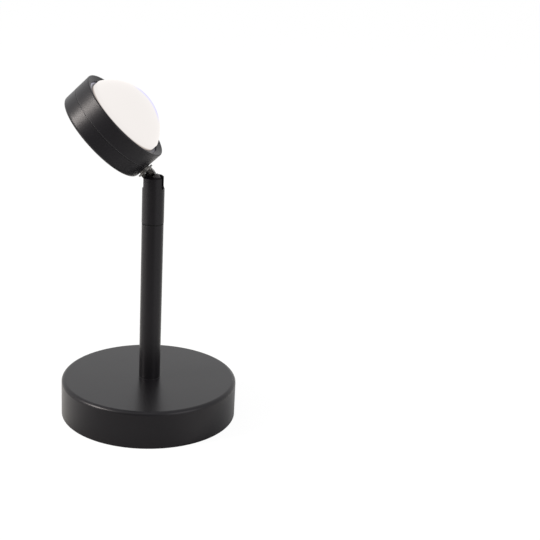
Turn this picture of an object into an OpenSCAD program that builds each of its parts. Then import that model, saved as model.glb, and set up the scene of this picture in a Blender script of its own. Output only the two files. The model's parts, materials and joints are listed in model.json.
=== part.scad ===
// Sunset projection lamp: a weighted round base, a tube stem, a swivelling fork with a cross joint,
// and a short drum head that carries a large plano-convex lens.
// Millimetres, +Z up. The origin is the centre of the face that rests on the table.
// At rest the head looks along +X and up; the cable entry is at +Y.

/* [Base] */
// Outside diameter of the base
base_d = 100.6; // [90:0.2:120]
// Height of the base from the table to its top face
base_h = 21.7; // [20:0.1:26]
// Sheet thickness of the pressed base shell
base_wall = 1.2; // [0.8:0.1:1.6]
// Radius of the rounded top edge of the base
base_edge_r = 2.2; // [1.7:0.1:3.5]
// Thickness of the cast weight under the top of the shell
weight_t = 6; // [4:0.5:6.5]
// Diameter of the three posts cast under the weight
post_d = 8; // [7:0.5:10]
// Distance of the posts from the centre
post_place = 34; // [28:1:38]
// Thickness of the steel cover plate
plate_t = 1; // [0.8:0.1:1.4]
// Thickness of the foam pad under the cover plate
pad_t = 1.5; // [1.2:0.1:2]
// How far the pad stands below the edge of the shell
pad_proud = 0.3; // [0.3:0.1:0.8]
// Shank diameter of the cover screws
cover_screw_d = 3; // [2.5:0.5:4]
// Length of the cover screws
cover_screw_len = 8; // [6:0.5:10]

/* [Cable entry] */
// Height of the cable entry above the table
entry_z = 7.6; // [7.4:0.1:8]
// Bore of the rubber grommet
entry_bore_d = 3.8; // [3:0.1:4.4]
// Diameter of the hole in the shell that the grommet sits in
entry_hole_d = 6.4; // [6:0.1:7]
// Diameter of the flanges of the grommet
entry_flange_d = 9; // [8.4:0.1:9.4]
// Thickness of each flange of the grommet
entry_flange_t = 1.1; // [0.9:0.1:1.5]

/* [Stem] */
// Outside diameter of the stem tube
tube_d = 12.2; // [11.8:0.1:12.3]
// Wall of the stem tube
tube_wall = 1; // [0.8:0.1:1.1]
// Length of the stem tube
tube_len = 92.1; // [70:0.1:160]
// Diameter of the threaded nipple that ties the stem to the base
nipple_d = 8; // [7.4:0.1:8.4]
// Bore of the nipple
nipple_bore_d = 5; // [4.6:0.1:5.6]
// Length of the bush in the foot of the tube
bush_len = 12; // [8:1:20]
// Width across the flats of the nut under the weight
stem_nut_af = 13; // [12:0.5:16]
// Height of the nut under the weight
stem_nut_h = 3; // [2.5:0.1:3.5]
// Diameter of the lock washer under the weight
stem_washer_d = 15; // [14:0.5:18]
// Thickness of the lock washer under the weight
stem_washer_t = 0.8; // [0.6:0.1:1]

/* [Swivel] */
// Outside diameter of the swivel sleeve
sleeve_d = 12.4; // [12.3:0.1:12.8]
// Length of the swivel sleeve, fork included
sleeve_len = 26.7; // [26.5:0.1:34]
// Diameter of the spindle that the sleeve turns on
spindle_d = 8.8; // [8.6:0.1:9]
// Length of the spindle above the tube
spindle_len = 10; // [9:0.5:11]
// Length of the spindle's plug inside the tube
plug_len = 12; // [8:1:18]
// Bore of the spindle
spindle_bore_d = 4.8; // [4:0.1:5]
// Thickness of the washer between the tube and the sleeve
swivel_washer_t = 0.5; // [0.2:0.1:0.6]
// Depth of the groove that holds the sleeve down
groove_depth = 0.6; // [0.4:0.1:0.8]
// Width of the groove
groove_w = 2.8; // [2.7:0.1:3.4]
// Diameter of the grub screw that runs in the groove
grub_d = 2.5; // [2:0.1:2.6]

/* [Cross joint] */
// Bore between the two cheeks of the fork
fork_bore_d = 8.3; // [8.2:0.05:8.5]
// Width of the slot that the neck tilts through
slot_w = 7; // [6.6:0.1:7.2]
// Depth of the slot below the rim of the fork
slot_depth = 7.1; // [6.8:0.1:7.5]
// Radius of the two corners at the foot of the slot
slot_corner_r = 1.4; // [0.5:0.1:1.6]
// Chamfer round the rim of the fork
rim_chamfer = 0.8; // [0.3:0.1:0.9]
// Depth of the tilt axis below the rim of the fork
pivot_drop = 2.2; // [2:0.1:2.3]
// Diameter of the ball of the cross block
ball_d = 8; // [7.8:0.05:8.1]
// Diameter of the screw that the ball tilts on
tilt_screw_d = 2; // [1.6:0.1:2.2]
// Diameter of the head of the tilt screw
tilt_head_d = 3.2; // [2.8:0.1:3.4]
// Distance from the tilt axis to the roll axis
axis_spacing = 3.8; // [3.7:0.05:3.9]
// Diameter of the rivet on the roll axis
rivet_d = 1.5; // [1.3:0.1:1.7]
// Thickness of the tongue of the cross block
tongue_t = 2.2; // [2:0.1:2.5]
// Width of the tongue of the cross block
tongue_w = 4.4; // [3.8:0.1:4.6]
// Thickness of each ear of the yoke
ear_t = 2; // [1.7:0.1:2.2]
// Width of each ear of the yoke
ear_w = 4.6; // [4.2:0.1:4.8]
// Diameter of the collar of the yoke
collar_d = 9.6; // [9.2:0.1:9.8]
// Thickness of the collar of the yoke
collar_t = 1.5; // [1.3:0.1:1.8]
// Distance from the roll axis to the underside of the collar
collar_rise = 2.3; // [2.2:0.05:2.4]
// Diameter of the hollow stud of the yoke
stud_d = 5; // [4.6:0.1:5.2]
// Bore of the stud
stud_bore_d = 2.4; // [2.2:0.1:2.6]

/* [Head] */
// Angle of the head above the horizon at rest
head_elevation = 44.5; // [0:0.5:60]
// Outside diameter of the drum at its front
head_d = 56.6; // [54:0.2:62]
// How much smaller the radius of the drum is at its back
head_taper = 0.2; // [0.1:0.1:0.8]
// Depth of the drum from its back to its front rim
head_depth = 18.9; // [18.8:0.1:21]
// Distance from the front rim back to the seam
seam_depth = 9.5; // [9.3:0.1:9.7]
// Distance from the front rim back to the neck
neck_depth = 13; // [12.9:0.1:13.3]
// Wall of the drum at its back
head_wall = 1.9; // [1.6:0.1:2.1]
// Thickness of the back of the drum
back_t = 1.5; // [1.3:0.1:1.6]
// Radius of the rounded back edge
back_edge_r = 1.6; // [1:0.1:2.5]
// Radius of the rounded front edge
lip_r = 0.6; // [0.4:0.1:1]
// Width of the lip from the outside of the drum to the lens well
lip_w = 3.4; // [3.3:0.1:4]
// How far the lip slopes down towards the lens well
lip_drop = 1.3; // [1:0.1:1.5]
// Length of the spigot that joins the back shell to the bezel
spigot_len = 2.6; // [2.5:0.1:2.7]
// Width of the shadow gap at the seam
seam_gap = 0.2; // [0.1:0.05:0.4]
// Width across the flats of the nut inside the head
yoke_nut_af = 8; // [7.5:0.1:8]
// Height of the nut inside the head
yoke_nut_h = 2.4; // [2:0.1:3]

/* [Lens] */
// Height of the domed face above the edge of the lens
dome_h = 13.9; // [11:0.1:15]
// Thickness of the cylindrical edge of the lens
lens_edge_t = 5.2; // [4:0.1:6]
// Width of the flange round the foot of the lens
lens_flange_w = 1.7; // [1.1:0.1:1.8]
// Thickness of the flange of the lens
lens_flange_t = 1; // [0.8:0.1:1.2]
// Depth of the lens seat below the front rim
lens_seat_depth = 3.8; // [3.7:0.1:3.9]
// Thickness of the seat under the lens
seat_t = 1.4; // [1.3:0.1:1.5]
// Width of the seat under the lens
seat_w = 3.1; // [2.6:0.1:4]
// Thickness of the ring that holds the lens down
retainer_t = 0.8; // [0.6:0.1:0.9]

/* [Light engine] */
// Thickness of the colour filter
filter_t = 1; // [0.8:0.1:1.1]
// How far the colour filter laps under the seat
filter_lap = 0.8; // [0.6:0.1:1.2]
// Height of the raised pad that the LED board is screwed to
heat_pad_t = 1.5; // [1.2:0.1:1.8]
// Diameter of the LED board
board_d = 28; // [27:0.5:32]
// Thickness of the LED board
board_t = 1.5; // [1.2:0.1:1.6]
// Diameter of the LED package
led_d = 9.6; // [8:0.1:10]
// Height of the LED package
led_h = 1; // [0.8:0.1:1.2]
// Wall of the reflector
reflector_wall = 1; // [0.8:0.1:1.2]
// Distance of the board screws from the centre of the board
board_screw_place = 11; // [10.5:0.1:11.4]
// Shank diameter of the board screws
board_screw_d = 2; // [1.6:0.1:2.2]
// Length of the board screws under the head
board_screw_len = 3.8; // [3:0.1:4]

/* [Wiring] */
// Outside diameter of each insulated lead
lead_d = 1; // [0.7:0.1:1.1]
// Distance from the inside of the shell to the near end of the splices
splice_inset = 18.8; // [18:0.2:24]
// Diameter of the crimped splice on each lead
splice_d = 2.6; // [2.2:0.1:3]
// Length of the crimped splices
splice_len = 9; // [7:0.5:10]

/* [Hidden] */
$fn = 96;

cut_over = 0.5;        // how far a cutting solid runs past the face that it opens
slip = 0.05;           // radial clearance of a part that slides into its seat
running = 0.03;        // radial clearance of a turning pin
hole_play = 0.2;       // radial clearance of a bolt or nipple in a plain hole
lie_gap = 0.1;         // gap under a lead that lies on a face
edge = 0.25;           // chamfer of a turned edge
seam_edge = 0.1;       // broken edge at the joint of the tube and the sleeve

black = [0.035, 0.035, 0.038];
gunmetal = [0.30, 0.29, 0.28];
steel = [0.62, 0.62, 0.64];
brass = [0.72, 0.56, 0.26];
iron = [0.25, 0.25, 0.26];
rubber = [0.06, 0.06, 0.06];
nylon = [0.12, 0.12, 0.12];
glass = [0.95, 0.94, 0.94];
white = [0.93, 0.93, 0.92];
amber = [0.95, 0.55, 0.10];
phosphor = [0.95, 0.85, 0.25];
lead_red = [0.75, 0.08, 0.06];

// Heights in the base, from the table up
shell_foot = pad_proud;
plate_foot = pad_t;
plate_top = plate_foot + plate_t;
weight_top = base_h - base_wall;
weight_foot = weight_top - weight_t;
washer_foot = weight_foot - stem_washer_t;
stem_nut_foot = washer_foot - stem_nut_h;
nipple_tail = 1.5;
nipple_foot = stem_nut_foot - nipple_tail;

// Radii in the base
base_r = base_d / 2;
inner_r = base_r - base_wall;
cover_r = inner_r - hole_play;
weight_r = inner_r - 0.8;
nipple_hole_r = nipple_d / 2 + hole_play;
post_angles = [-90, 30, 150];
cover_head_d = cover_screw_d + 2.6;
cover_head_t = pad_t - 0.3;
grommet_play = 0.15;

// Heights on the stem
tube_r = tube_d / 2;
tube_bore_r = tube_r - tube_wall;
tube_top = base_h + tube_len;
nipple_top = base_h + bush_len;
spindle_top = tube_top + spindle_len;
groove_z = tube_top + spindle_len * 0.62;
sleeve_foot = tube_top + swivel_washer_t;
sleeve_rim = sleeve_foot + sleeve_len;
sleeve_r = sleeve_d / 2;
sleeve_bore_r = spindle_d / 2 + slip;
sleeve_bore_top = spindle_top + 1;
grub_tip_gap = 0.12;
grub_tip = spindle_d / 2 - groove_depth + grub_tip_gap;
grub_sunk = 0.3;
grub_socket_d = 1.3;
grub_socket_depth = 0.9;

// Cross joint, with heights along the neck from the tilt axis
pivot_z = sleeve_rim - pivot_drop;
slot_foot = sleeve_rim - slot_depth;
tilt_head_t = 0.7;
tilt_head_seat = sleeve_r - tilt_head_t - 0.05;
tilt_tip = sleeve_r - 0.7;
ear_end_r = ear_w / 2;
ear_in = tongue_t / 2 + 0.1;
ear_out = ear_in + ear_t;
shoulder_z = axis_spacing - ear_end_r - 0.15;
tongue_end_r = rivet_d / 2 + 0.75;
collar_z = axis_spacing + collar_rise;
collar_top = collar_z + collar_t;
collar_rim_t = 0.9;
collar_face_d = collar_d - 3.2;
rivet_head_t = 0.35;
rivet_head_d = rivet_d + 1.2;

// Head: the neck's frame has Z along the neck and X along the optical axis
head_r = head_d / 2;
inner_wall_r = head_r - head_taper - head_wall;
neck_r = drum_r(-neck_depth);
axis_z = collar_top + neck_r;
spot_r = sqrt(pow(drum_r(-neck_depth - collar_face_d / 2), 2) - pow(collar_face_d / 2, 2));
spot_depth = neck_r - spot_r;
spigot_r = inner_wall_r + 0.1;
spigot_t = 1.2;
spigot_root = 2;
spigot_front = spigot_len - seam_depth;
back_in = back_t - head_depth;
boss_r = inner_wall_r - 1;
boss_w = 10;
yoke_washer_t = 0.5;
yoke_washer_d = stud_d + 3;
yoke_nut_foot = axis_z - boss_r + yoke_washer_t;
stud_end = yoke_nut_foot + yoke_nut_h + 0.5;

// Lens and what sits behind it, with heights along the optical axis from the front rim
lens_well_r = head_r - lip_w;
lens_flange_r = lens_well_r - 0.2;
lens_r = lens_flange_r - lens_flange_w;
lens_roc = (lens_r * lens_r + dome_h * dome_h) / (2 * dome_h);
lens_foot = -lens_seat_depth;
lens_edge_top = lens_foot + lens_edge_t;
lens_centre = lens_edge_top + dome_h - lens_roc;
lip_edge = lip_r + 0.2;
retainer_foot = lens_foot + lens_flange_t;
seat_back = lens_foot - seat_t;
seat_bore_r = lens_well_r - seat_w;
filter_r = seat_bore_r + filter_lap;
filter_back = seat_back - filter_t;
carrier_r = inner_wall_r - slip;
reflector_flange_t = filter_back - spigot_front;
heat_pad_r = board_d / 2 + 1;
board_back = back_in + heat_pad_t;
board_front = board_back + board_t;
reflector_back = board_front + 0.3;
mouth_r = seat_bore_r - 1;
throat_r = led_d / 2 + 0.3;
board_screw_angles = [60, 180, 300];
board_head_d = board_screw_d + 1.8;
board_head_t = 1.1;

// Leads: each route lies in one plane, and the pair is spread across it
lead_r = lead_d / 2;
lead_spread = lead_d / 2 + 0.12;
lead_sides = 8;
floor_z = plate_top + lead_r + lie_gap;
splice_y = inner_r - splice_inset;
splice_z = plate_top + splice_d / 2 + lie_gap;
stem_route = [[splice_y, splice_z], [splice_y - 4, floor_z], [splice_y * 0.6, floor_z],
              [8, floor_z], [3, floor_z + 0.6],
              [1, floor_z + 2.4], [0, nipple_foot], [0, base_h], [0, nipple_top],
              [0, tube_top - plug_len], [0, spindle_top + 2]];
pad_x = neck_depth + board_front + lead_r + lie_gap;
pad_z = axis_z - board_d / 2;
head_route = [[0, collar_z + 0.2], [0, stud_end], [0, stud_end + 1], [pad_x, pad_z - 0.5],
              [pad_x, pad_z + 3]];

// Places children with Z along the neck, X along the optical axis and the tilt axis at the origin
module neck_frame() {
    translate([0, 0, pivot_z]) rotate([0, -head_elevation, 0]) children();
}

// Places children with Z along the optical axis, the front rim at 0 and X towards the neck
module optical_frame() {
    neck_frame() translate([neck_depth, 0, axis_z]) rotate([0, 90, 0]) children();
}

// A ring or disc from z0 to z1
module ring(outer, inner, z0, z1) {
    difference() {
        translate([0, 0, z0]) cylinder(r = outer, h = z1 - z0);
        if (inner > 0) bore(inner, z0, z1);
    }
}

// The cut that opens a round hole from z0 to z1
module bore(r, z0, z1) {
    translate([0, 0, z0 - cut_over]) cylinder(r = r, h = z1 - z0 + 2 * cut_over);
}

// Half outline of a disc whose top edge is rounded
module rounded_top(r, z0, z1, e) {
    translate([0, z0]) square([r, z1 - e - z0]);
    translate([0, z0]) square([r - e, z1 - z0]);
    translate([r - e, z1 - e]) circle(r = e);
}

// A hexagonal prism by its width across the flats
module hexagon(across_flats, h) {
    cylinder(r = across_flats / 2 / cos(30), h = h, $fn = 6);
}

// Half outline of a turned rod whose ends are chamfered
module turned_rod(r, z0, z1, e0, e1) {
    polygon([[0, z0], [r - e0, z0], [r, z0 + e0], [r, z1 - e1], [r - e1, z1], [0, z1]]);
}

// A pan head screw with its head at z = 0 and its shank going down
module pan_screw(d, len, head_d, head_t, recess) {
    difference() {
        union() {
            translate([0, 0, -len]) cylinder(r = d / 2, h = len);
            rotate_extrude() rounded_top(head_d / 2, 0, head_t, head_t * 0.45);
        }
        for (turn = [0, 90]) rotate([0, 0, turn])
            translate([-recess, -recess / 5, head_t * 0.4]) cube([2 * recess, recess / 2.5, head_t]);
    }
}

// Radius of the tapered drum at a height from its front rim
function drum_r(z) = head_r + head_taper * z / head_depth;

// Points of a planar route after its corners are cut back once
function soften(p) = [p[0], for (i = [0 : len(p) - 2])
    for (t = [0.25, 0.75]) if ((i > 0 || t > 0.5) && (i < len(p) - 2 || t < 0.5))
        p[i] * (1 - t) + p[i + 1] * t, p[len(p) - 1]];

// Direction of a planar route at its point i
function heading(p, i) =
    let (v = p[min(i + 1, len(p) - 1)] - p[max(i - 1, 0)]) v / norm(v);

// A round lead along a route in the YZ plane, set off along X
module lead(route, off) {
    p = soften(soften(route));
    n = len(p);
    rings = [for (i = [0 : n - 1]) let (v = heading(p, i)) for (k = [0 : lead_sides - 1])
        let (a = 360 * (k + 0.5) / lead_sides, c = lead_r * cos(a), s = lead_r * sin(a))
            [off + c, p[i][0] - s * v[1], p[i][1] + s * v[0]]];
    sides = [for (i = [0 : n - 2]) for (k = [0 : lead_sides - 1]) let (m = (k + 1) % lead_sides)
        [i * lead_sides + k, (i + 1) * lead_sides + k, (i + 1) * lead_sides + m, i * lead_sides + m]];
    ends = [[for (k = [0 : lead_sides - 1]) k],
            [for (k = [lead_sides - 1 : -1 : 0]) (n - 1) * lead_sides + k]];
    polyhedron(points = rings, faces = concat(sides, ends), convexity = 6);
}

// Pressed steel shell: the round top, the skirt and the hole for the grommet
module base_shell() {
    color(black) difference() {
        rotate_extrude() rounded_top(base_r, shell_foot, base_h, base_edge_r);
        rotate_extrude()
            rounded_top(inner_r, shell_foot - cut_over, weight_top, base_edge_r - base_wall);
        bore(nipple_hole_r, weight_top, base_h);
        translate([0, 0, entry_z]) rotate([-90, 0, 0]) bore(entry_hole_d / 2, inner_r - 1, base_r);
    }
}

// Cast disc with three posts for the cover screws
module base_weight() {
    color(iron) difference() {
        union() {
            rotate_extrude() rounded_top(weight_r, weight_foot, weight_top, base_edge_r - base_wall);
            for (a = post_angles) rotate([0, 0, a]) translate([post_place, 0, plate_top])
                cylinder(r = post_d / 2, h = weight_foot - plate_top + cut_over);
        }
        bore(nipple_hole_r, weight_foot, weight_top);
        for (a = post_angles) rotate([0, 0, a]) translate([post_place, 0, plate_top - cut_over])
            cylinder(r = cover_screw_d / 2 + slip, h = cover_screw_len + cut_over);
    }
}

// Steel sheet that closes the base from below
module base_plate() {
    color(steel) difference() {
        ring(cover_r, 0, plate_foot, plate_top);
        for (a = post_angles) rotate([0, 0, a]) translate([post_place, 0, 0])
            bore(cover_screw_d / 2 + hole_play, plate_foot, plate_top);
    }
}

// Three screws that hold the plate to the posts, with their heads down
module cover_screws() {
    color(steel) for (a = post_angles) rotate([0, 0, a])
        translate([post_place, 0, plate_foot]) rotate([180, 0, 0])
            pan_screw(cover_screw_d, cover_screw_len, cover_head_d, cover_head_t, 1.5);
}

// Foam ring pad, punched out round the screw heads
module base_pad() {
    color(rubber) difference() {
        ring(cover_r, 0, 0, pad_t);
        for (a = post_angles) rotate([0, 0, a]) translate([post_place, 0, 0])
            bore(cover_head_d / 2 + hole_play, 0, pad_t);
    }
}

// Rubber grommet: two flanges that follow the round wall, and the throat between them
module cable_grommet() {
    color(rubber) difference() {
        translate([0, 0, entry_z]) rotate([-90, 0, 0]) difference() {
            translate([0, 0, inner_r - entry_flange_t])
                cylinder(r = entry_flange_d / 2, h = base_wall + 2 * entry_flange_t);
            bore(entry_bore_d / 2, inner_r - entry_flange_t, base_r + entry_flange_t);
        }
        difference() {
            ring(base_r + slip, inner_r - slip - 0.3, entry_z - entry_flange_d, entry_z + entry_flange_d);
            translate([0, 0, entry_z]) rotate([-90, 0, 0])
                cylinder(r = entry_hole_d / 2 - grommet_play, h = base_d);
        }
    }
}

// Hollow threaded rod that clamps the base and carries the stem
module stem_nipple() {
    color(brass) difference() {
        rotate_extrude() turned_rod(nipple_d / 2, nipple_foot, nipple_top, edge, edge);
        bore(nipple_bore_d / 2, nipple_foot, nipple_top);
    }
}

module lock_washer() {
    color(steel) ring(stem_washer_d / 2, nipple_d / 2 + hole_play, washer_foot, weight_foot);
}

module stem_nut() {
    color(brass) difference() {
        translate([0, 0, stem_nut_foot]) hexagon(stem_nut_af, stem_nut_h);
        bore(nipple_d / 2 + slip, stem_nut_foot, washer_foot);
    }
}

// Bush that is pressed into the foot of the tube and threaded for the nipple
module stem_bush() {
    color(steel) ring(tube_bore_r - slip, nipple_d / 2 + slip, base_h, nipple_top);
}

module stem_tube() {
    color(black) difference() {
        rotate_extrude() turned_rod(tube_r, base_h, tube_top, edge, seam_edge);
        bore(tube_bore_r, base_h, tube_top);
    }
}

// Plug in the top of the tube, with the grooved spindle that the sleeve turns on
module swivel_spindle() {
    color(steel) difference() {
        union() {
            ring(tube_bore_r - slip, 0, tube_top - plug_len, tube_top);
            rotate_extrude() turned_rod(spindle_d / 2, tube_top - edge, spindle_top, 0, edge);
        }
        bore(spindle_bore_d / 2, tube_top - plug_len, spindle_top);
        ring(spindle_d, spindle_d / 2 - groove_depth, groove_z - groove_w / 2, groove_z + groove_w / 2);
    }
}

// Washer that sets the friction of the swivel
module swivel_washer() {
    color(nylon) ring(tube_r - 2 * edge, spindle_d / 2 + hole_play, tube_top, sleeve_foot);
}

// Pair of insulated leads from the base to just above the spindle
module stem_leads() {
    color(lead_red) for (side = [-1, 1]) lead(stem_route, side * lead_spread);
}

// Crimped splices where the leads meet the supply cable
module lead_splices() {
    color(nylon) for (side = [-1, 1])
        translate([side * (splice_d / 2 + hole_play), splice_y, splice_z]) rotate([-90, 0, 0])
            rotate_extrude() turned_rod(splice_d / 2, 0, splice_len, edge, edge);
}

// Cross section of the slot, whose two lower corners are rounded
module slot_outline() {
    e = slot_corner_r;
    translate([-slot_w / 2, slot_foot + e]) square([slot_w, slot_depth]);
    translate([e - slot_w / 2, slot_foot]) square([slot_w - 2 * e, slot_depth]);
    for (side = [-1, 1]) translate([side * (slot_w / 2 - e), slot_foot + e]) circle(r = e);
}

// Turned sleeve: spindle bore, fork with its slot, and the seats of both screws
module swivel_sleeve() {
    color(black) difference() {
        rotate_extrude() turned_rod(sleeve_r, sleeve_foot, sleeve_rim, seam_edge, rim_chamfer);
        bore(sleeve_bore_r, sleeve_foot, sleeve_bore_top - cut_over);
        bore(fork_bore_d / 2, sleeve_bore_top, sleeve_rim);
        rotate([90, 0, 90]) translate([0, 0, -sleeve_d]) linear_extrude(2 * sleeve_d) slot_outline();
        translate([0, 0, pivot_z]) rotate([-90, 0, 0]) {
            bore(tilt_head_d / 2 + slip, tilt_head_seat + cut_over, sleeve_r);
            translate([0, 0, -tilt_tip]) cylinder(r = tilt_screw_d / 2 + running, h = sleeve_d);
        }
        translate([0, 0, groove_z]) rotate([-90, 0, 0])
            bore(grub_d / 2 + running, spindle_d / 2, sleeve_r);
    }
}

// Headless screw whose tip runs in the groove of the spindle
module grub_screw() {
    color(steel) translate([0, 0, groove_z]) rotate([-90, 0, 0]) difference() {
        rotate_extrude() turned_rod(grub_d / 2, grub_tip, sleeve_r - grub_sunk, edge, edge / 2);
        translate([0, 0, sleeve_r - grub_sunk - grub_socket_depth])
            hexagon(grub_socket_d, sleeve_r);
    }
}

// Screw that the ball tilts on, entered from the back and blind at the front
module tilt_screw() {
    color(steel) translate([0, 0, pivot_z]) rotate([-90, 0, 0]) difference() {
        union() {
            translate([0, 0, slip - tilt_tip])
                cylinder(r = tilt_screw_d / 2, h = tilt_tip - slip + tilt_head_seat + tilt_head_t / 2);
            translate([0, 0, tilt_head_seat]) cylinder(r = tilt_head_d / 2, h = tilt_head_t);
        }
        translate([-tilt_head_d, -0.25, tilt_head_seat + tilt_head_t / 2])
            cube([2 * tilt_head_d, 0.5, tilt_head_t]);
    }
}

// Ball with a flattened crown and the tongue that the yoke rolls on
module cross_block() {
    color(gunmetal) neck_frame() difference() {
        union() {
            difference() {
                sphere(r = ball_d / 2);
                translate([-ball_d, -ball_d, shoulder_z]) cube([2 * ball_d, 2 * ball_d, ball_d]);
            }
            translate([-tongue_t / 2, 0, 0]) {
                translate([0, -tongue_w / 2, 0]) cube([tongue_t, tongue_w, axis_spacing - 0.6]);
                translate([0, 0, axis_spacing]) rotate([0, 90, 0])
                    cylinder(r = tongue_end_r, h = tongue_t);
            }
        }
        rotate([90, 0, 0]) bore(tilt_screw_d / 2 + running, -ball_d / 2, ball_d / 2);
        translate([0, 0, axis_spacing]) rotate([0, 90, 0])
            bore(rivet_d / 2 + running, -tongue_t / 2, tongue_t / 2);
    }
}

// Yoke: two ears round the tongue, the collar that meets the drum, and the hollow stud
module head_yoke() {
    color(gunmetal) neck_frame() difference() {
        union() {
            for (side = [0, 180]) rotate([0, 0, side]) translate([ear_in, 0, 0]) {
                translate([0, 0, axis_spacing]) rotate([0, 90, 0])
                    cylinder(r = ear_end_r, h = ear_t);
                translate([0, -ear_w / 2, axis_spacing])
                    cube([ear_t, ear_w, collar_rise + collar_rim_t / 2]);
            }
            rotate_extrude() turned_rod(collar_d / 2, collar_z, collar_z + collar_rim_t, edge / 2, edge / 2);
            ring(collar_face_d / 2, 0, collar_z + collar_rim_t / 2, collar_top + spot_depth);
            rotate_extrude() turned_rod(stud_d / 2, collar_top, stud_end, 0, edge);
        }
        bore(stud_bore_d / 2, collar_z, stud_end);
        translate([0, 0, axis_spacing]) rotate([0, 90, 0])
            bore(rivet_d / 2 + slip, -ear_out, ear_out);
    }
}

// Rivet that the yoke rolls on, headed at both ears
module roll_rivet() {
    color(steel) neck_frame() translate([0, 0, axis_spacing]) rotate([0, 90, 0]) {
        ring(rivet_d / 2, 0, -ear_out - rivet_head_t / 2, ear_out + rivet_head_t / 2);
        ring(rivet_head_d / 2, 0, ear_out, ear_out + rivet_head_t);
        ring(rivet_head_d / 2, 0, -ear_out - rivet_head_t, -ear_out);
    }
}

module yoke_washer() {
    color(steel) neck_frame()
        ring(yoke_washer_d / 2, stud_d / 2 + hole_play, axis_z - boss_r, yoke_nut_foot);
}

module yoke_nut() {
    color(brass) neck_frame() difference() {
        translate([0, 0, yoke_nut_foot]) rotate([0, 0, 30]) hexagon(yoke_nut_af, yoke_nut_h);
        bore(stud_d / 2 + slip, yoke_nut_foot, yoke_nut_foot + yoke_nut_h);
    }
}

// Half outline of the tapered drum from one height to another, with one corner rounded
module drum_outline(z0, z1, e0, e1) {
    polygon([[0, z0], [drum_r(z0 + e0) - e0, z0], [drum_r(z0 + e0), z0 + e0], [drum_r(z1 - e1), z1 - e1],
        [drum_r(z1 - e1) - e1, z1], [0, z1]]);
    if (e0 > 0) translate([drum_r(z0 + e0) - e0, z0 + e0]) circle(r = e0);
    if (e1 > 0) translate([drum_r(z1 - e1) - e1, z1 - e1]) circle(r = e1);
}

// Half outline of the back shell before its bosses: back, wall and spigot
module rear_outline() {
    difference() {
        drum_outline(-head_depth, -seam_depth - seam_gap, back_edge_r, 0);
        translate([-cut_over, back_in]) square([inner_wall_r + cut_over, head_depth]);
    }
    translate([spigot_r - spigot_t, -seam_depth - spigot_root])
        square([spigot_t, spigot_len + spigot_root]);
    translate([0, back_in - back_t / 2]) square([heat_pad_r, heat_pad_t + back_t / 2]);
}

// Die-cast back shell, with the heat pad for the board and the boss for the yoke
module rear_housing() {
    color(black) optical_frame() difference() {
        union() {
            rotate_extrude() rear_outline();
            translate([boss_r, -boss_w / 2, back_in - back_t / 2])
                cube([head_wall, boss_w, -seam_depth - seam_gap - back_in + back_t / 2]);
        }
        translate([boss_r - spigot_t - 1, -boss_w / 2, back_in])
            cube([spigot_t + 1, boss_w, head_depth]);
        translate([0, 0, -neck_depth]) rotate([0, 90, 0]) {
            bore(stud_d / 2 + hole_play, boss_r, head_r);
            translate([0, 0, spot_r]) cylinder(r = collar_face_d / 2 + slip, h = 2 * cut_over);
        }
        for (a = board_screw_angles) rotate([0, 0, a]) translate([board_screw_place, 0, 0])
            translate([0, 0, board_front - board_screw_len])
                cylinder(r = board_screw_d / 2 + slip, h = board_screw_len);
    }
}

// Front bezel: sloped lip, lens well, the seat ledge and the socket for the spigot
module front_bezel() {
    color(black) optical_frame() difference() {
        rotate_extrude() drum_outline(-seam_depth, 0, 0, lip_r);
        rotate_extrude() polygon([[0, lens_foot], [lens_well_r, lens_foot], [lens_well_r, -lip_drop],
            [head_r - lip_edge, 0], [head_r - lip_edge, cut_over], [0, cut_over]]);
        bore(seat_bore_r, seat_back, lens_foot);
        bore(inner_wall_r, -seam_depth, seat_back - cut_over);
        bore(spigot_r + slip, -seam_depth, spigot_front - cut_over);
    }
}

// Plano-convex lens with a flange at its foot
module lens() {
    color(glass) optical_frame() {
        ring(lens_flange_r, 0, lens_foot, retainer_foot);
        intersection() {
            translate([0, 0, lens_foot]) cylinder(r = lens_r, h = lens_roc);
            translate([0, 0, lens_centre]) sphere(r = lens_roc);
        }
    }
}

module lens_retainer() {
    color(nylon) optical_frame()
        ring(lens_well_r - slip, lens_r + hole_play, retainer_foot, retainer_foot + retainer_t);
}

// Soft ring that centres the filter under the ledge
module filter_ring() {
    color(nylon) optical_frame() ring(carrier_r, filter_r + slip, filter_back, seat_back);
}

module colour_filter() {
    color(amber) optical_frame() ring(filter_r, 0, filter_back, seat_back);
}

// White cone from the LED to the filter, clamped by its flange
module reflector() {
    color(white) optical_frame() difference() {
        union() {
            ring(carrier_r, 0, spigot_front, filter_back);
            translate([0, 0, reflector_back]) cylinder(r1 = throat_r + reflector_wall,
                r2 = mouth_r + reflector_wall, h = spigot_front - reflector_back);
        }
        translate([0, 0, reflector_back]) cylinder(r1 = throat_r, r2 = mouth_r,
            h = spigot_front - reflector_back);
        bore(throat_r, reflector_back, reflector_back);
        bore(mouth_r, spigot_front + cut_over, filter_back);
    }
}

// Aluminium-cored board, drilled for its screws
module led_board() {
    color(white) optical_frame() difference() {
        ring(board_d / 2, 0, board_back, board_front);
        for (a = board_screw_angles) rotate([0, 0, a]) translate([board_screw_place, 0, 0])
            bore(board_screw_d / 2 + hole_play, board_back, board_front);
    }
}

module led_package() {
    color(phosphor) optical_frame() {
        ring(led_d / 2, 0, board_front, board_front + led_h / 2);
        ring(led_d / 2 - 1, 0, board_front + led_h / 2, board_front + led_h);
    }
}

module board_screws() {
    color(steel) optical_frame() for (a = board_screw_angles) rotate([0, 0, a])
        translate([board_screw_place, 0, board_front])
            pan_screw(board_screw_d, board_screw_len, board_head_d, board_head_t, 1.1);
}

// Pair of leads from the collar through the stud to the board
module head_leads() {
    color(lead_red) neck_frame() rotate([0, 0, -90])
        for (side = [-1, 1]) lead(head_route, side * lead_spread);
}

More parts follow.
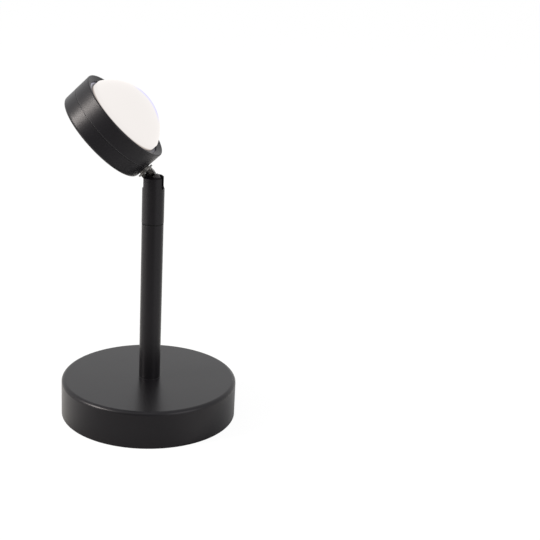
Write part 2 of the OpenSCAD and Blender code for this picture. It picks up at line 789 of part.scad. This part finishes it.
base_shell();
base_weight();
base_plate();
cover_screws();
base_pad();
cable_grommet();
stem_nipple();
lock_washer();
stem_nut();
stem_bush();
stem_tube();
swivel_spindle();
swivel_washer();
stem_leads();
lead_splices();
swivel_sleeve();
grub_screw();
tilt_screw();
cross_block();
head_yoke();
roll_rivet();
yoke_washer();
yoke_nut();
rear_housing();
front_bezel();
lens();
lens_retainer();
filter_ring();
colour_filter();
reflector();
led_board();
led_package();
board_screws();
head_leads();
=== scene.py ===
"""Looks of the sunset projection lamp: camera, studio, finishes and fine pieces."""

import json
import math

import bpy
from mathutils import Matrix, Vector


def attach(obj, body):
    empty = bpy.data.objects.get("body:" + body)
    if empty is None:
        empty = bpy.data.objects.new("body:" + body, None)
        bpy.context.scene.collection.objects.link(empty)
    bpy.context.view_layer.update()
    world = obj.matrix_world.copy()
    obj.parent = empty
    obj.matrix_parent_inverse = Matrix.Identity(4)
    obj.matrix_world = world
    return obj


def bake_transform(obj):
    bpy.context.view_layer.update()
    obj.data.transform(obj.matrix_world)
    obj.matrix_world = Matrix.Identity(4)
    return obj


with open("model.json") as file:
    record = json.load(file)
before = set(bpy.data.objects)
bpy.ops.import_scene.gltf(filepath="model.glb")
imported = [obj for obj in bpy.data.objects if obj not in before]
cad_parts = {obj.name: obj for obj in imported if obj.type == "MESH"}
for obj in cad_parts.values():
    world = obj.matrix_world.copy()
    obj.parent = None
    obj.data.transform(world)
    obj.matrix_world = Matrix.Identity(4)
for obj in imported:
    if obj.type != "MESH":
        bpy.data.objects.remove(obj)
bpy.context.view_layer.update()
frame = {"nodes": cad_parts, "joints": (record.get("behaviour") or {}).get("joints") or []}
NODES = frame["nodes"]
MM = 0.001
JOINTS = {joint["name"]: joint for joint in frame["joints"]}
PIVOT = Vector(JOINTS["tilt"]["pos_m"])           # where the neck tilts
OPTICAL = Vector(JOINTS["roll"]["axis"])          # from the back of the head to the lens
ACROSS = Vector(JOINTS["tilt"]["axis"])           # along the tilt screw, to the back
NECK = OPTICAL.cross(ACROSS)                      # from the pivot up to the head
UP = Vector((0, 0, 1))


def extent(node, direction):
    """The least and greatest distance of a node's points along a direction."""
    places = [vertex.co.dot(direction) for vertex in NODES[node].data.vertices]
    return min(places), max(places)


def neck_point(ahead, across, up):
    """A point given in millimetres from the pivot, in the frame that tilts with the neck."""
    return PIVOT + (OPTICAL * ahead + ACROSS * across + NECK * up) * MM


# ---------------------------------------------------------------- camera

CAMERA_PLACE = Vector((0.0979, -0.5809, 0.2783))
CAMERA_AIM = Vector((0.0662, 0.0112, 0.0880))
CAMERA_ROLL = math.radians(3.23)
CAMERA_LENS = 72.73       # millimetres, on a sensor 36 mm wide
SENSOR_WIDTH = 36.0
CLIP_NEAR = 0.01          # metres
CLIP_FAR = 20.0


def add_camera():
    data = bpy.data.cameras.new("camera")
    data.lens = CAMERA_LENS
    data.sensor_width = SENSOR_WIDTH
    data.sensor_fit = "HORIZONTAL"
    data.clip_start = CLIP_NEAR
    data.clip_end = CLIP_FAR
    camera = bpy.data.objects.new("camera", data)
    bpy.context.scene.collection.objects.link(camera)
    forward = (CAMERA_AIM - CAMERA_PLACE).normalized()
    right = forward.cross(UP).normalized()
    up = right.cross(forward)
    rolled_right = right * math.cos(CAMERA_ROLL) + up * math.sin(CAMERA_ROLL)
    rolled_up = up * math.cos(CAMERA_ROLL) - right * math.sin(CAMERA_ROLL)
    turn = Matrix((rolled_right, rolled_up, -forward)).transposed().to_4x4()
    camera.matrix_world = Matrix.Translation(CAMERA_PLACE) @ turn
    bpy.context.scene.camera = camera


# ---------------------------------------------------------------- shader nodes

def wired(tree, kind, inputs, **settings):
    """A new shader node, whose inputs are constants or the outputs of other nodes."""
    node = tree.nodes.new(kind)
    for setting, value in settings.items():
        setattr(node, setting, value)
    for socket, value in inputs.items():
        if isinstance(value, bpy.types.NodeSocket):
            tree.links.new(value, node.inputs[socket])
        else:
            node.inputs[socket].default_value = value
    return node


def number_math(tree, operation, first, second):
    """The result of a sum on two numbers."""
    return wired(tree, "ShaderNodeMath", {0: first, 1: second}, operation=operation).outputs[0]


def vector_math(tree, operation, *terms):
    """The result of a sum on vectors: a number for a dot product or a length, or else a vector."""
    node = wired(tree, "ShaderNodeVectorMath", dict(enumerate(terms)), operation=operation)
    return node.outputs["Value" if operation in ("DOT_PRODUCT", "LENGTH") else "Vector"]


def map_range(tree, value, span, ends=(0.0, 1.0), smooth=False):
    """A value carried from one span to the two ends of another, and held beyond them."""
    node = wired(tree, "ShaderNodeMapRange",
                 {"Value": value, "From Min": span[0], "From Max": span[1],
                  "To Min": ends[0], "To Max": ends[1]},
                 interpolation_type="SMOOTHSTEP" if smooth else "LINEAR")
    return node.outputs["Result"]


def colour_ramp(tree, share, stops):
    """A colour that follows a share from 0 to 1 through stops, each a position and a colour."""
    node = wired(tree, "ShaderNodeValToRGB", {"Fac": share})
    elements = node.color_ramp.elements
    for position, _ in stops[1:-1]:
        elements.new(position)
    for element, (position, colour) in zip(elements, stops):
        element.position = position
        element.color = (*colour, 1)
    return node.outputs["Color"]


def mix_shaders(tree, share, first, second):
    """The first shader, with a share of the second in its place."""
    return wired(tree, "ShaderNodeMixShader", {0: share, 1: first, 2: second}).outputs[0]


def object_place(tree):
    """Where a point of the piece lies, in metres."""
    return tree.nodes.new("ShaderNodeTexCoord").outputs["Object"]


def distance_along(tree, direction):
    """How far a point of the piece lies along a direction, in metres."""
    return vector_math(tree, "DOT_PRODUCT", object_place(tree), direction)


def noise(tree, scale, detail=2.0):
    """A noise from 0 to 1 that is fixed to the piece."""
    node = wired(tree, "ShaderNodeTexNoise",
                 {"Vector": object_place(tree), "Scale": scale, "Detail": detail})
    return node.outputs["Fac"]


# ---------------------------------------------------------------- studio

PURE_WHITE = (1.0, 1.0, 1.0)
WHITE = (*PURE_WHITE, 1.0)
FLOOR_HALF = 9.0          # metres
FLOOR_RISE = 0.02 * MM    # the foam sinks this far into the paper
FLOOR_PALE = 0.9
FLOOR_SHADOW = 0.12       # share of the floor's white that a shadow can take away
FLOOR_GLOW = 1.06
WORLD_LIGHT = 0.60        # strength of the world as a lamp
WORLD_SEEN = 1.0          # strength of the world where it is seen or mirrored
CARD_DIRECTION = (-0.14, -0.99, 0.0)   # the side of the set with a dark card, which gloss shows
CARD_TONE = 0.30
CARD_NEAR_TONE = 0.70     # the card starts some way off, so close to the lamp it darkens less
CARD_NEAR = 0.15          # metres
CARD_FAR = 0.50
CARD_INNER = math.radians(20)
CARD_OUTER = math.radians(60)
KEY_PLACE = (-1.02, -0.47, 0.76)
KEY_AIM = (-0.01, 0, 0.165)
KEY_SIDE = 0.42           # metres
KEY_POWER = 15.0          # watts
KEY_COLOUR = (1.0, 0.94, 0.86)
FILL_PLACE = (1.0, -0.7, 0.55)
FILL_AIM = (0, 0, 0.1)
FILL_SIDE = 0.8
FILL_POWER = 3.5
FILL_COLOUR = (1.0, 0.97, 0.94)


def add_square_lamp(name, place, aim, side, power, colour):
    data = bpy.data.lights.new(name, "AREA")
    data.shape = "SQUARE"
    data.size = side
    data.energy = power
    data.color = colour
    lamp = bpy.data.objects.new(name, data)
    bpy.context.scene.collection.objects.link(lamp)
    lamp.location = place
    lamp.rotation_euler = (Vector(aim) - Vector(place)).to_track_quat("-Z", "Y").to_euler()


def card_tone(tree, place, seen):
    """How pale the set is: darker towards the card, and fully pale where the camera sees it."""
    distance = vector_math(tree, "LENGTH", place)
    darkest = map_range(tree, distance, (CARD_NEAR, CARD_FAR), (CARD_NEAR_TONE, CARD_TONE))
    way = vector_math(tree, "NORMALIZE", place)
    towards = vector_math(tree, "DOT_PRODUCT", way, CARD_DIRECTION)
    fade = map_range(tree, towards, (math.cos(CARD_OUTER), math.cos(CARD_INNER)), (1.0, darkest),
                     smooth=True)
    return number_math(tree, "MAXIMUM", fade, seen)


def add_world():
    """A dim white dome as a lamp, and a plain white set with a dark card where it is seen."""
    world = bpy.data.worlds.new("studio")
    bpy.context.scene.world = world
    world.use_nodes = True
    tree = world.node_tree
    tree.nodes.clear()
    ray = tree.nodes.new("ShaderNodeLightPath").outputs
    seen = number_math(tree, "MAXIMUM", ray["Is Camera Ray"], ray["Is Transmission Ray"])
    mirrored = number_math(tree, "MAXIMUM", seen, ray["Is Glossy Ray"])
    dome = wired(tree, "ShaderNodeBackground", {"Color": WHITE, "Strength": WORLD_LIGHT})
    place = tree.nodes.new("ShaderNodeTexCoord").outputs["Generated"]
    tone = card_tone(tree, place, seen)
    studio_set = wired(tree, "ShaderNodeBackground", {"Color": tone, "Strength": WORLD_SEEN})
    choice = mix_shaders(tree, mirrored, dome.outputs[0], studio_set.outputs[0])
    wired(tree, "ShaderNodeOutputWorld", {"Surface": choice})


def add_floor():
    """White paper, which glows for the camera, keeps a faint shadow and is clear from below."""
    bpy.ops.object.select_all(action="DESELECT")
    bpy.ops.mesh.primitive_plane_add(size=2 * FLOOR_HALF, location=(0, 0, FLOOR_RISE))
    floor = bpy.context.object
    floor.name = "floor"
    material = bpy.data.materials.new("floor")
    material.use_nodes = True
    tree = material.node_tree
    tree.nodes.clear()
    camera_ray = tree.nodes.new("ShaderNodeLightPath").outputs["Is Camera Ray"]
    tone = card_tone(tree, object_place(tree), camera_ray)
    shade = number_math(tree, "MULTIPLY", tone, FLOOR_PALE)
    paper = wired(tree, "ShaderNodeBsdfDiffuse", {"Color": shade}).outputs[0]
    glow = wired(tree, "ShaderNodeEmission", {"Color": WHITE, "Strength": FLOOR_GLOW}).outputs[0]
    pale = mix_shaders(tree, FLOOR_SHADOW, glow, paper)
    above = mix_shaders(tree, camera_ray, paper, pale)
    from_below = tree.nodes.new("ShaderNodeNewGeometry").outputs["Backfacing"]
    clear = tree.nodes.new("ShaderNodeBsdfTransparent").outputs[0]
    both_sides = mix_shaders(tree, from_below, above, clear)
    wired(tree, "ShaderNodeOutputMaterial", {"Surface": both_sides})
    floor.data.materials.append(material)


def add_lamps():
    add_square_lamp("key", KEY_PLACE, KEY_AIM, KEY_SIDE, KEY_POWER, KEY_COLOUR)
    add_square_lamp("fill", FILL_PLACE, FILL_AIM, FILL_SIDE, FILL_POWER, FILL_COLOUR)


# ---------------------------------------------------------------- finishes

PAINT_GRAIN = 4000.0              # scale of the orange peel, about a quarter of a millimetre
PAINT_GRAIN_DETAIL = 3.0
PAINT_RELIEF = 0.02 * MM
PAINT_GLOSS = 0.18
PAINT_CLOUD = 60.0                # scale of the uneven gloss
PAINT_CLOUD_DEPTH = 0.02
PAINT_SHEEN = (0.94, 0.915, 1.0, 1)
PAINT_COAT = 0.2
PAINT_COAT_ROUGHNESS = 0.35
METAL_WEAR = 900.0                # scale of the uneven gloss
METAL_WEAR_DEPTH = 0.08
PLAIN_GRAIN = 1500.0
PLAIN_GRAIN_DEPTH = 0.05
BLACK_PAINT = (0.0066, 0.0060, 0.0072)
HEAD_PAINT = (0.0080, 0.0075, 0.0092)
GASKET_PAINT = (0.0062, 0.0058, 0.0066)
RIM_START = 1.1 * MM              # below the sleeve's top, where its matt rim starts
RIM_FULL = 0.8 * MM
RIM_MATT = {"Specular IOR Level": 0.07, "Coat Weight": 0.0}


def surface_of(material):
    """A material's node tree and the inputs of its shader."""
    return material.node_tree, material.node_tree.nodes["Principled BSDF"].inputs


def finish(name, colour):
    """A new material of one colour, its node tree and the inputs of its shader."""
    material = bpy.data.materials.new(name)
    material.use_nodes = True
    tree, surface = surface_of(material)
    surface["Base Color"].default_value = (*colour, 1)
    return material, tree, surface


def uneven_gloss(tree, surface, roughness, depth, scale):
    """A roughness that strays to either side by a depth."""
    stray = map_range(tree, noise(tree, scale), (0.0, 1.0), (roughness - depth, roughness + depth))
    tree.links.new(stray, surface["Roughness"])


def satin_paint(name, colour, roughness, bump, gloss=PAINT_GLOSS):
    """Baked satin paint: a fine orange peel and slightly uneven gloss."""
    material, tree, surface = finish(name, colour)
    surface["Specular IOR Level"].default_value = gloss
    surface["Specular Tint"].default_value = PAINT_SHEEN
    surface["Coat Weight"].default_value = PAINT_COAT
    surface["Coat Roughness"].default_value = PAINT_COAT_ROUGHNESS
    peel = wired(tree, "ShaderNodeBump", {"Strength": bump, "Distance": PAINT_RELIEF,
                                          "Height": noise(tree, PAINT_GRAIN, PAINT_GRAIN_DETAIL)})
    tree.links.new(peel.outputs["Normal"], surface["Normal"])
    uneven_gloss(tree, surface, roughness, PAINT_CLOUD_DEPTH, PAINT_CLOUD)
    return material


def matt_rim(material):
    """The fork's turned rim is left matt, so it stays dark."""
    tree, surface = surface_of(material)
    top = extent("swivel_sleeve", UP)[1]
    height = distance_along(tree, UP)
    for name, matt in RIM_MATT.items():
        ends = (surface[name].default_value, matt)
        level = map_range(tree, height, (top - RIM_START, top - RIM_FULL), ends)
        tree.links.new(level, surface[name])
    return material


def metal(name, colour, roughness, wear_depth=METAL_WEAR_DEPTH):
    material, tree, surface = finish(name, colour)
    surface["Metallic"].default_value = 1.0
    uneven_gloss(tree, surface, roughness, wear_depth, METAL_WEAR)
    return material


def plain(name, colour, roughness):
    """Iron, foam, rubber or plastic with a fine grain."""
    material, tree, surface = finish(name, colour)
    uneven_gloss(tree, surface, roughness, PLAIN_GRAIN_DEPTH, PLAIN_GRAIN)
    return material


LENS_BODY = (0.03, 0.03, 0.03)
LENS_ROUGHNESS = 0.4
LENS_GLOSS = 0.05
# painted glow: the glass's even off-white comes from emission
LENS_PAINTED_GLOW = (0.88, 0.84, 0.815)
# painted violet reflection at the glass's outline
LENS_PAINTED_VIOLET_REFLECTION = (0.62, 0.60, 0.97)
VIOLET_FACING = (0.70, 0.88)      # how far the glass turns away where the painted violet reflection starts and is full
VIOLET_REACH = ((10, 3), (-16, -9))   # where the painted violet reflection ends and is full, in millimetres up from the middle
# painted shade near the glass's seat: dark deep in the bezel, beige, then none
SEAT_PAINTED_SHADE = (0.10, 0.10, 0.13)
SEAT_PAINTED_HALF_SHADE = (0.55, 0.50, 0.46)
SEAT_DEEP = 2.3 * MM              # behind the bezel's rim, where the painted shade is darkest
SEAT_END = 0.8 * MM


def lens_glass():
    """Bright frosted-looking glass, lit by a painted glow, with a faint painted violet reflection
    at its outline and painted shade towards its seat.
    """
    material, tree, surface = finish("lens_glass", LENS_BODY)
    surface["Roughness"].default_value = LENS_ROUGHNESS
    surface["Specular IOR Level"].default_value = LENS_GLOSS
    # painted glow, which gives the glass its even white
    surface["Emission Strength"].default_value = 1.0
    # painted violet reflection, strongest where the glass turns away
    facing = wired(tree, "ShaderNodeLayerWeight", {"Blend": 0.5}).outputs["Facing"]
    violet = map_range(tree, facing, VIOLET_FACING)
    up = distance_along(tree, NECK)
    middle = sum(extent("lens", NECK)) / 2
    for end, full in VIOLET_REACH:
        part = map_range(tree, up, (middle + end * MM, middle + full * MM), smooth=True)
        violet = number_math(tree, "MULTIPLY", violet, part)
    tint = colour_ramp(tree, violet, ((0.0, LENS_PAINTED_GLOW), (1.0, LENS_PAINTED_VIOLET_REFLECTION)))
    # painted shade towards the glass's seat behind the bezel's rim
    rim = extent("front_bezel", OPTICAL)[1]
    ahead = map_range(tree, distance_along(tree, OPTICAL), (rim - SEAT_DEEP, rim - SEAT_END))
    shadow = colour_ramp(tree, ahead, ((0.0, SEAT_PAINTED_SHADE), (0.5, SEAT_PAINTED_HALF_SHADE), (1.0, PURE_WHITE)))
    glow = vector_math(tree, "MULTIPLY", tint, shadow)
    tree.links.new(glow, surface["Emission Color"])
    return material


GUNMETAL = (0.10, 0.096, 0.092)
# painted highlight on the collar
GUNMETAL_PAINTED_HIGHLIGHT = (0.17, 0.165, 0.158)
COLLAR_UP = 6.0 * MM              # from the pivot to the foot of the collar, where the painted highlight starts
COLLAR_EDGE = 0.3 * MM


def gunmetal_with_painted_highlight():
    """Dark plated steel, whose collar is painted paler than the ears below it: a painted highlight.
    """
    material = metal("gunmetal", GUNMETAL, 0.38, wear_depth=0.03)
    tree, surface = surface_of(material)
    collar = PIVOT.dot(NECK) + COLLAR_UP
    # painted highlight: paler above the foot of the collar
    painted_collar_highlight = map_range(tree, distance_along(tree, NECK),
                       (collar - COLLAR_EDGE, collar + COLLAR_EDGE))
    tint = colour_ramp(tree, painted_collar_highlight, ((0.0, GUNMETAL), (1.0, GUNMETAL_PAINTED_HIGHLIGHT)))
    tree.links.new(tint, surface["Base Color"])
    return material


RING_VIOLET = (0.17, 0.155, 0.25)
# painted shade at the ring's lower side and painted light at its upper side
RING_PAINTED_SHADE = (0.04, 0.036, 0.06)
RING_PAINTED_LIGHT = (0.40, 0.38, 0.46)
RING_RISE = (0.12, 0.85)          # shares of its height between which painted light turns the ring paler
RING_LIP_START = 1.3 * MM         # in from its outer edge: inward of this the painted shade is darkest
RING_LIP_FULL = 0.6 * MM
RING_INNER_SHADE = 0.12


def coated_ring():
    """The dark violet-coated ring round the lens, with painted light that makes its upper side
    paler and painted shade at its inner edge.
    """
    material = metal("violet_anodised", RING_VIOLET, 0.3)
    tree, surface = surface_of(material)
    low, high = extent("lens_retainer", NECK)
    # painted light: paler towards the ring's upper side
    up = map_range(tree, distance_along(tree, NECK), (low, high))
    tint = colour_ramp(tree, up, ((RING_RISE[0], RING_PAINTED_SHADE), (RING_RISE[1], RING_PAINTED_LIGHT)))
    centre = NECK * (low + high) / 2
    from_centre = vector_math(tree, "SUBTRACT", object_place(tree), centre)
    off_axis = vector_math(tree, "CROSS_PRODUCT", from_centre, OPTICAL)
    radius = vector_math(tree, "LENGTH", off_axis)
    ring_r = (high - low) / 2
    # painted shade towards the ring's inner edge, in the gap by the lens
    inner_painted_shade = map_range(tree, radius, (ring_r - RING_LIP_START, ring_r - RING_LIP_FULL),
                    (RING_INNER_SHADE, 1.0), smooth=True)
    shaded = wired(tree, "ShaderNodeVectorMath", {0: tint, "Scale": inner_painted_shade}, operation="SCALE")
    tree.links.new(shaded.outputs["Vector"], surface["Base Color"])
    return material


def dress(node, material):
    mesh = NODES[node].data
    mesh.materials.clear()
    mesh.materials.append(material)
    for face in mesh.polygons:
        face.material_index = 0


def dress_all():
    """Give every CAD node its finish, and return the two that the fine pieces share."""
    black = satin_paint("black_paint", BLACK_PAINT, 0.30, bump=0.10)
    sleeve = matt_rim(satin_paint("sleeve_paint", BLACK_PAINT, 0.30, bump=0.10))
    housing = satin_paint("housing_paint", HEAD_PAINT, 0.36, bump=0.04)
    bezel = satin_paint("bezel_paint", HEAD_PAINT, 0.41, bump=0.04)
    gunmetal = gunmetal_with_painted_highlight()
    oxide = metal("black_oxide", (0.045, 0.043, 0.043), 0.42, wear_depth=0.03)
    steel = metal("steel", (0.62, 0.62, 0.64), 0.28)
    brass = metal("brass", (0.72, 0.56, 0.26), 0.3)
    iron = plain("cast_iron", (0.09, 0.09, 0.095), 0.6)
    foam = plain("foam", (0.025, 0.025, 0.025), 0.9)
    rubber = plain("rubber", (0.02, 0.02, 0.02), 0.6)
    nylon = plain("nylon", (0.05, 0.05, 0.05), 0.45)
    acetal = plain("black_acetal", (0.004, 0.004, 0.004), 0.7)
    dark_steel = metal("dark_steel", (0.16, 0.155, 0.15), 0.35)
    violet = coated_ring()
    white = plain("white_plastic", (0.9, 0.9, 0.89), 0.35)
    amber = plain("filter", (0.9, 0.45, 0.05), 0.1)
    gel = plain("phosphor", (0.9, 0.75, 0.15), 0.4)
    lead_jacket = plain("lead", (0.012, 0.012, 0.013), 0.4)
    finishes = {
        black: ("base_shell", "stem_tube"),
        sleeve: ("swivel_sleeve",),
        housing: ("rear_housing",),
        bezel: ("front_bezel",),
        gunmetal: ("head_yoke",),
        oxide: ("cross_block",),
        steel: ("base_plate", "cover_screws", "lock_washer", "stem_bush", "swivel_spindle",
                "yoke_washer", "board_screws"),
        dark_steel: ("grub_screw", "tilt_screw", "roll_rivet"),
        brass: ("stem_nipple", "stem_nut", "yoke_nut"),
        iron: ("base_weight",),
        foam: ("base_pad",),
        rubber: ("cable_grommet",),
        nylon: ("lead_splices", "filter_ring"),
        acetal: ("swivel_washer",),
        violet: ("lens_retainer",),
        white: ("reflector", "led_board"),
        amber: ("colour_filter",),
        gel: ("led_package",),
        lead_jacket: ("stem_leads", "head_leads"),
        lens_glass(): ("lens",),
    }
    for material, names in finishes.items():
        for name in names:
            dress(name, material)
    return black, lead_jacket


# ---------------------------------------------------------------- fine pieces

BEAD_STEPS = 144
BEAD_JOIN = 0.001 * MM            # points nearer than this are merged
BEAD_SMOOTH = math.radians(40)
FOOT_BEAD_UP = 0.05               # millimetres, from the foot of the stem to the bead's middle
FOOT_BEAD_HALF = (0.28, 0.22)     # half its width and half its height
GASKET_UNDER = 0.19               # from the drum's surface in to the gasket's middle
GASKET_AHEAD = 0.14
GASKET_HALF = (0.14, 0.20)


def rounded_section(radius, height, half_width, half_height, sides=8):
    """An oval cross section about one radius and height."""
    turns = [2 * math.pi * (side + 0.5) / sides for side in range(sides)]
    return [(radius + half_width * math.cos(t), height + half_height * math.sin(t)) for t in turns]


def spun_bead(name, profile, centre, axis, material, body):
    """A closed bead: a small polygon, in (radius, height) millimetres, spun about an axis."""
    outward = axis.orthogonal().normalized()
    bpy.ops.object.select_all(action="DESELECT")
    bpy.ops.mesh.primitive_circle_add(vertices=len(profile), radius=MM, fill_type="NOTHING")
    bead = bpy.context.object
    bead.name = name
    for vertex, (radius, height) in zip(bead.data.vertices, profile):
        vertex.co = centre + (outward * radius + axis * height) * MM
    bpy.ops.object.mode_set(mode="EDIT")
    bpy.ops.mesh.select_all(action="SELECT")
    bpy.ops.mesh.spin(steps=BEAD_STEPS, angle=2 * math.pi, center=centre, axis=axis)
    bpy.ops.mesh.select_all(action="SELECT")
    bpy.ops.mesh.remove_doubles(threshold=BEAD_JOIN)
    bpy.ops.mesh.normals_make_consistent(inside=False)
    bpy.ops.object.mode_set(mode="OBJECT")
    bpy.ops.object.shade_smooth_by_angle(angle=BEAD_SMOOTH)
    bead.data.materials.append(material)
    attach(bead, body)


def add_foot_bead(paint):
    """The bead of paint at the stem's foot."""
    stem_r = extent("stem_tube", ACROSS)[1] / MM
    foot = UP * extent("stem_tube", UP)[0]
    spun_bead("foot_bead", rounded_section(stem_r, FOOT_BEAD_UP, *FOOT_BEAD_HALF), foot, UP,
              paint, "base")


def add_seam_gasket():
    """The gasket that fills the seam of the drum."""
    gasket = satin_paint("gasket_paint", GASKET_PAINT, 0.4, bump=0.1, gloss=0.7)
    low, high = extent("front_bezel", NECK)
    seam = extent("front_bezel", OPTICAL)[0]
    centre = OPTICAL * seam + NECK * (low + high) / 2
    drum_r = (high - low) / 2 / MM
    spun_bead("seam_gasket", rounded_section(drum_r - GASKET_UNDER, GASKET_AHEAD, *GASKET_HALF),
              centre, OPTICAL, gasket, "head")


LEAD_D = 0.92             # millimetres
LEAD_APART = 0.62         # from the middle of the pair to each lead
LEAD_BOWED = 0.70         # the same where the pair bows out in the fork
FORK_ROUTE = ((LEAD_APART, -12.9), (LEAD_BOWED, -9.5), (LEAD_BOWED, -6.5), (LEAD_APART, -4.2))
NECK_ROUTE = (5.1, 5.7, 6.5)      # up the neck from the pivot


def lead(name, path, material):
    """One short stretch of a lead along a path."""
    curve = bpy.data.curves.new(name, "CURVE")
    curve.dimensions = "3D"
    curve.bevel_depth = LEAD_D / 2 * MM
    curve.bevel_resolution = 3
    curve.use_fill_caps = True
    spline = curve.splines.new("BEZIER")
    spline.bezier_points.add(len(path) - 1)
    for knot, place in zip(spline.bezier_points, path):
        knot.co = place
        knot.handle_left_type = knot.handle_right_type = "AUTO"
    spline.resolution_u = 6
    stretch = bpy.data.objects.new(name, curve)
    bpy.context.scene.collection.objects.link(stretch)
    bpy.ops.object.select_all(action="DESELECT")
    stretch.select_set(True)
    bpy.context.view_layer.objects.active = stretch
    bpy.ops.object.convert(target="MESH")
    stretch = bpy.context.object
    stretch.data.materials.clear()
    stretch.data.materials.append(material)
    bpy.ops.object.shade_smooth()
    return stretch


def add_joint_leads(material):
    """The leads below the ball of the cross joint, and in the gap under the collar."""
    for letter, side in (("a", -1), ("b", 1)):
        below = [PIVOT + Vector((side * out, 0, up)) * MM for out, up in FORK_ROUTE]
        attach(lead("fork_lead_" + letter, below, material), "swivel")
        above = [neck_point(0, side * LEAD_APART, up) for up in NECK_ROUTE]
        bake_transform(lead("neck_lead_" + letter, above, material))


add_camera()
add_world()
add_floor()
add_lamps()
black_paint, lead_jacket = dress_all()
add_foot_bead(black_paint)
add_seam_gasket()
add_joint_leads(lead_jacket)
bpy.context.scene.view_settings.view_transform = "Standard"
